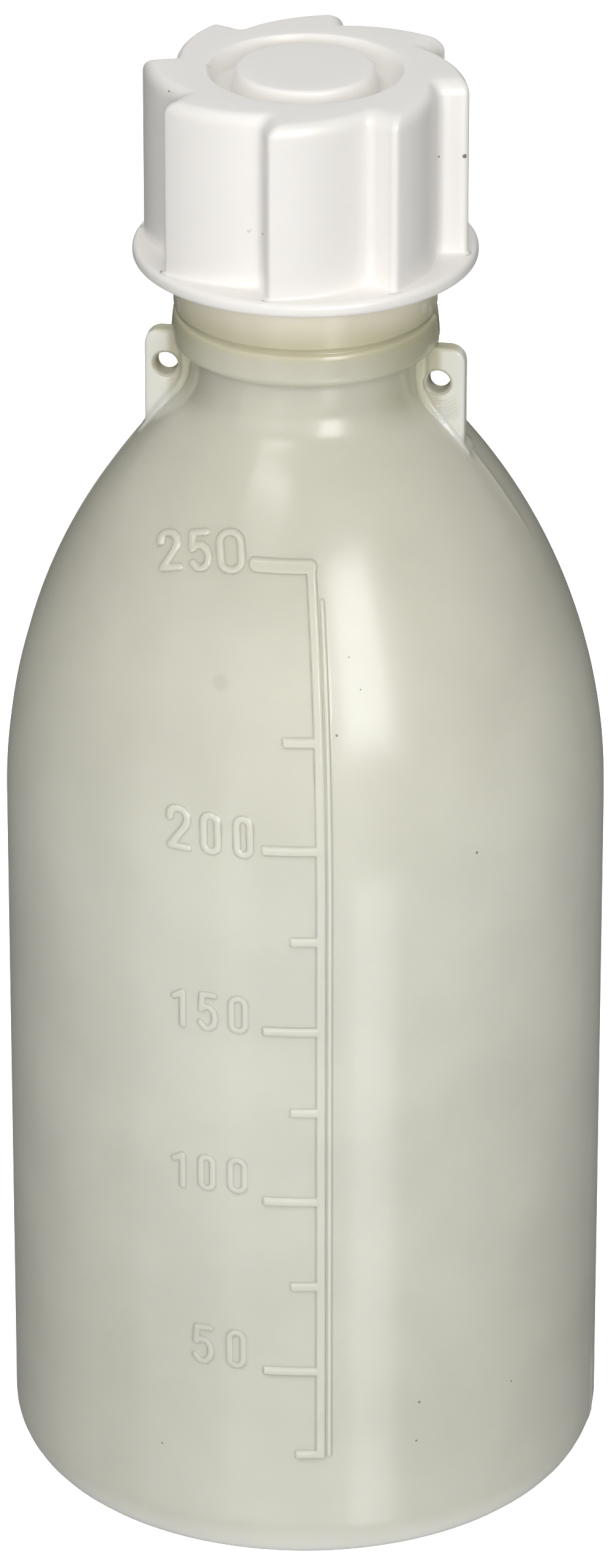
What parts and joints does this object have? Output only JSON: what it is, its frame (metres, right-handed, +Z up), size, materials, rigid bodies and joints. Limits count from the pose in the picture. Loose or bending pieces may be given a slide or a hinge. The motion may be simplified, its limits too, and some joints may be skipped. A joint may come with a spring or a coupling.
{
  "type": "narrow mouth bottle",
  "caption": "Round narrow mouth laboratory bottle in translucent plastic, with a sloping shoulder, pierced sealing ears, a raised volume scale and a toothed screw cap that lifts off.",
  "frame": {"origin": "on the bottle's axis, in the plane of the base ring that it stands on", "axes": "+Z up along the bottle's axis to the cap; the two sealing ears point to +X and -X; the raised volume scale is on the -Y side, turned 15.7 degrees towards +X"},
  "size_m": [0.061, 0.0613, 0.1531],
  "materials": {
    "bottle_body": "natural translucent polyethylene, satin as blown",
    "cap_white": "opaque warm white moulding, satin"
  },
  "bodies": {
    "bottle": {"bottle": "bottle_body"},
    "cap": {"screw_cap": "cap_white"}
  },
  "joints": [
    {"name": "cap_lift", "type": "slide", "parent": "bottle", "child": "cap", "axis": [0, 0, 1], "range_m": [0, 0.045]}
  ]
}
